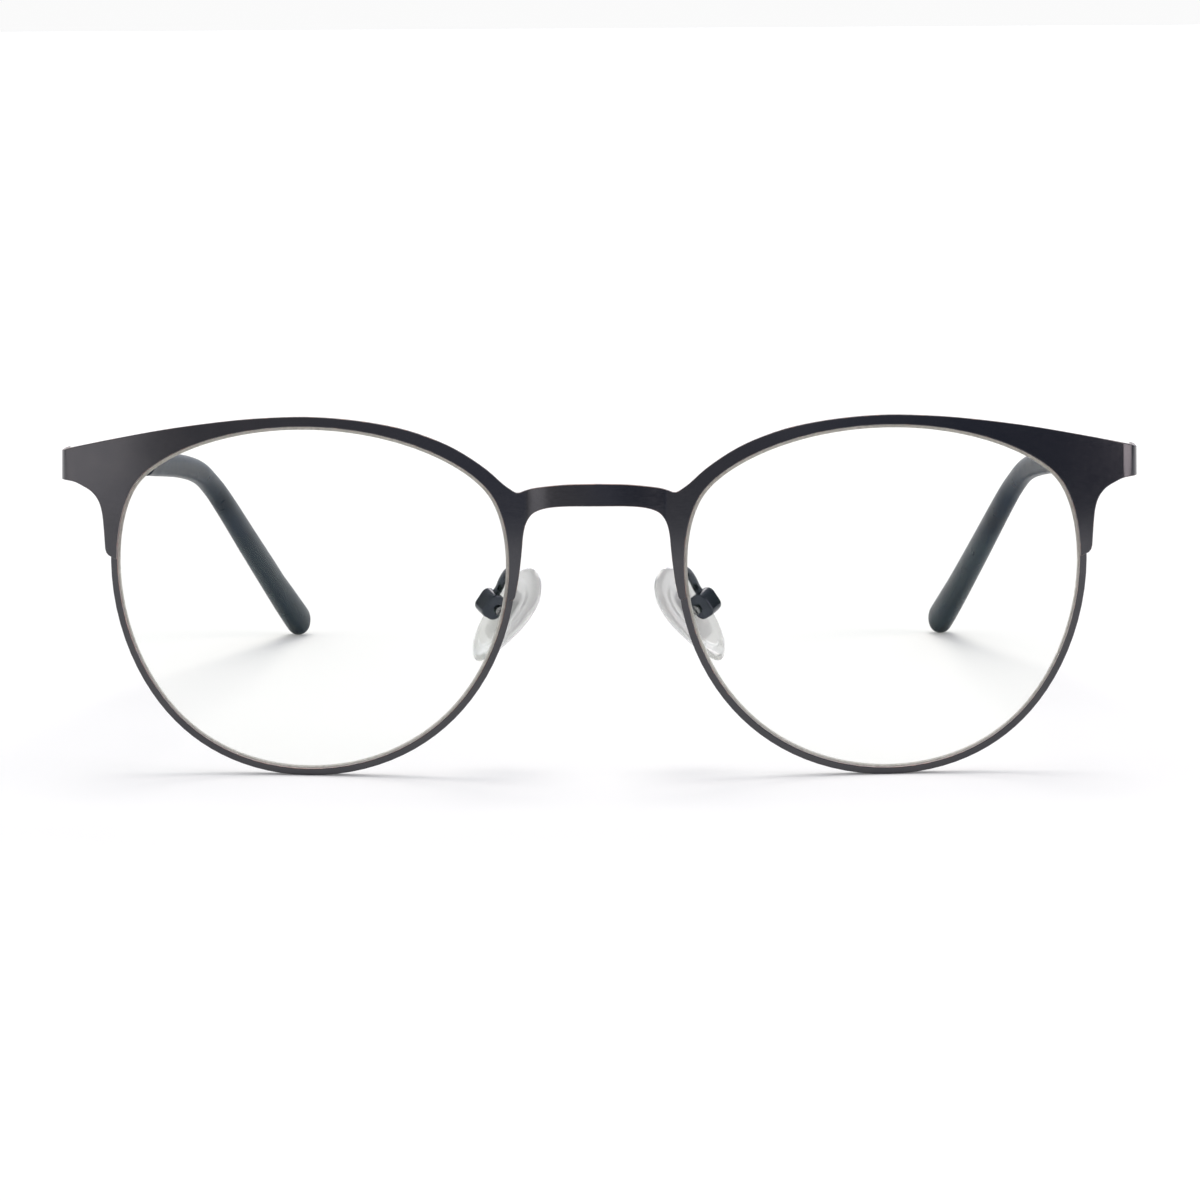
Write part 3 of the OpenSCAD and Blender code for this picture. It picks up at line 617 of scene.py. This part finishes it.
def regionsOf(bm):  # the faces between the real edges, from the largest region down
    left = set(bm.faces)
    regions = []
    while left:
        found, ahead = [], [left.pop()]
        while ahead:
            face = ahead.pop()
            found.append(face)
            for edge in face.edges:
                if edge.calc_face_angle(0) < math.radians(meshing["sharp"]):
                    near = [f for f in edge.link_faces if f in left]
                    left.difference_update(near)
                    ahead.extend(near)
        regions.append(found)
    return sorted(regions, key=lambda region: -sum(f.calc_area() for f in region))


def sheetEdges(bm):  # all but the sheet's front and back
    return [face for region in regionsOf(bm)[2:] for face in region]


def wireEdges(bm, side):  # the inside of the eyewire
    middle = Vector((lensMiddle[0] * sides[side], 0, lensMiddle[1])) * mm
    walls = []
    for face in bm.faces:
        inward = middle - face.calc_center_median()
        inward.y = 0
        if face.normal.dot(inward.normalized()) > paintedReflectionWall["inward"]:
            walls.append(face)
    return walls


def dipTemple(bm):
    for vert in bm.verts:
        back = vert.co.y / mm + lensOutline["depthMiddle"]
        share = (hingeEnd["to"] - back) / (hingeEnd["to"] - hingeEnd["from"])
        if vert.co.z > hingeEnd["level"] * mm and share > 0:
            vert.co.z -= hingeEnd["drop"] * min(share, 1) * mm


def sinkHead(bm):
    for vert in bm.verts:
        above = vert.co.z - hingeHead["level"] * mm
        vert.co.z -= max(above, 0) * (1 - hingeHead["share"])


def makeMetalwork():
    for node in cadNodes:
        side, kind = kindOf(node)
        if kind not in metalwork:
            continue
        name, width, segments = metalwork[kind]
        finishes = [nodeFinish[kind]]
        bm = copyOf(node)
        if kind == "temple":
            dipTemple(bm)
        elif kind == "hinge_screw":
            sinkHead(bm)
        # the sheet's and the wire's edge faces take a warm brown tint that paints a reflection
        elif kind in ("brow_plate", "eyewire"):
            for face in wireEdges(bm, side) if side else sheetEdges(bm):
                face.material_index = 1
            finishes.append(warmCutEdge)
        easeEdges(bm, width * mm, segments)
        piece = newPiece(side + name, bm, finishes, metalSmooth)
        shadeLike(piece, node)
        settle(piece, node)


# Nose pads

padShape = {
    "tilt": 33.5,  # degrees
    "splay": 34,  # degrees
    "screwUp": 0.42,  # mm, from the pad's middle to its screw
    "screwOut": -2.6,
    "length": 13.9,
    "width": 8,
    "thickness": 2.2,
    "frontTaper": 0.42,  # how much wider the top is on the front edge
    "backTaper": 0.04,  # and on the back edge
    "fullness": 0.12,
    # height through the pad and share of the outline, from the box side to the nose side
    "levels": [(-0.5, 0.0), (-0.5, 0.4), (-0.5, 0.66), (-0.495, 0.69), (-0.475, 0.71),
               (-0.4, 0.735), (-0.385, 0.76), (-0.385, 0.84), (-0.36, 0.9), (-0.29, 0.965),
               (-0.18, 1.0), (-0.06, 0.995), (0.0, 0.975), (0.02, 0.95), (0.06, 0.935),
               (0.2, 0.9), (0.32, 0.82), (0.42, 0.68), (0.48, 0.46), (0.5, 0.22), (0.5, 0.0)],
    "steps": 64,
    "smooth": 50,  # degrees
}


def padFrame():
    tilt, splay = math.radians(padShape["tilt"]), math.radians(padShape["splay"])
    up = Vector((-math.sin(tilt), 0, math.cos(tilt)))
    back = Vector((
        math.cos(tilt) * math.sin(splay), math.cos(splay), math.sin(tilt) * math.sin(splay)
    ))
    inward = up.cross(back)
    rock = next(j for j in frame["joints"] if j["name"] == "left_pad_rock")
    toScrew = padShape["screwUp"] * up + padShape["screwOut"] * inward
    middle = Vector(rock["pos_m"]) - mm * toScrew
    turn = Matrix((up, back, inward)).transposed().to_4x4()
    return Matrix.Translation(middle) @ turn


def makePads():
    shape = padShape
    place = padFrame()

    def padPoint(t, height, share):
        c, s = math.cos(2 * math.pi * t), math.sin(2 * math.pi * t)
        taper = shape["backTaper"] if s > 0 else shape["frontTaper"]
        full = abs(s) ** (-shape["fullness"] * abs(s))
        x = shape["length"] / 2 * c * share
        y = shape["width"] / 2 * s * (1 + taper * c) * full * share
        return place @ (Vector((x, y, height * shape["thickness"])) * mm)

    bm = loft([lambda t, p=p: padPoint(t, *p) for p in shape["levels"]], shape["steps"])
    for side, shell in bothSides(bm).items():
        pad = newPiece(side + "SiliconePad", shell, [clearSilicone], shape["smooth"])
        settle(pad, side + "_nose_pad")


# Temple tips

tipShape = {
    # middle of the sleeve from its mouth to its end, in mm from the front plane
    "path": [(65.25, 68.03, 34.22), (64.8, 72, 33.8), (62.6, 86, 32.2), (60.9, 96, 30.3),
             (59.62, 102.96, 27.52), (58.24, 108.9, 23.94), (55.72, 120.83, 16.47),
             (53.11, 132.75, 8.95), (51.64, 138.86, 5.04), (50.68, 142.87, 2.56)],
    "pathSteps": 6,  # between two of these
    # the section at the mouth and past the swell
    "thickness": (2.7, 3.8),
    "height": (3.44, 4.82),
    "fullness": (0.93, 0.9),  # below 1 the section is squarer
    "swellFrom": 0.35,  # share of the length
    "roll": -0.1,  # radians, at the end
    "rollFrom": 0.3,
    # distance past the mouth or the end, and share of the section there
    "lip": [(0.0, 0.0), (0.0, 0.72), (0.0, 0.84), (0.12, 0.94), (0.32, 1.0)],
    "end": [(0.55, 0.99), (1.05, 0.955), (1.37, 0.9), (1.59, 0.82), (1.72, 0.7), (1.78, 0.5),
            (1.805, 0.25), (1.81, 0.0)],
    "steps": 32,
    "smooth": 60,  # degrees
}


def throughPoints(points, steps):  # a smooth line through all the points
    points = [Vector(p) for p in points]
    points = [2 * points[0] - points[1], *points, 2 * points[-1] - points[-2]]
    track = []
    for a, b, c, d in zip(points, points[1:], points[2:], points[3:]):
        for step in range(steps):
            t = step / steps
            track.append(0.5 * (2 * b + (c - a) * t + (2 * a - 5 * b + 4 * c - d) * t ** 2
                                + (3 * b - a - 3 * c + d) * t ** 3))
    return track + [points[-2]]


def between(pair, share):
    return pair[0] + (pair[1] - pair[0]) * share


def pastShare(along, start):  # 0 up to the start, 1 at the end
    return max(0, (along - start) / (1 - start))


def makeTips():
    shape = tipShape
    track = throughPoints(shape["path"], shape["pathSteps"])
    last = len(track) - 1
    ways = [
        (track[min(step + 1, last)] - track[max(step - 1, 0)]).normalized()
        for step in range(len(track))
    ]
    # middle, way ahead, share of the length, share of the section
    stations = [(track[0] + far * ways[0], ways[0], 0.0, size) for far, size in shape["lip"]]
    stations += [(track[step], ways[step], step / last, 1.0) for step in range(1, len(track))]
    stations += [(track[-1] + far * ways[-1], ways[-1], 1.0, size) for far, size in shape["end"]]

    def tipPoint(t, spot, ahead, along, size):
        across = ahead.cross(Vector((0, 0, 1))).normalized()
        up = across.cross(ahead)
        turn = shape["roll"] * pastShare(along, shape["rollFrom"])
        across, up = (across * math.cos(turn) + up * math.sin(turn),
                      up * math.cos(turn) - across * math.sin(turn))
        swell = pastShare(along, shape["swellFrom"])
        swell = swell * swell * (3 - 2 * swell)
        power = between(shape["fullness"], swell)
        c, s = math.cos(2 * math.pi * t), math.sin(2 * math.pi * t)
        c, s = (math.copysign(abs(v) ** power, v) for v in (c, s))
        sideways = across * (between(shape["thickness"], swell) / 2 * c)
        upwards = up * (between(shape["height"], swell) / 2 * s)
        spot = spot + size * (sideways + upwards)
        return (spot - Vector((0, lensOutline["depthMiddle"], 0))) * mm

    bm = loft([lambda t, p=p: tipPoint(t, *p) for p in stations], shape["steps"])
    for side, shell in bothSides(bm).items():
        tip = newPiece(side + "EarTip", shell, [tipAcetate], shape["smooth"])
        settle(tip, side + "_temple_tip")


makeMetalwork()
print("metalwork made")
makeLenses()
makePads()
makeTips()
print("lenses, pads and tips made")

addCamera(cameraView)
addRoom()
print("room lit")
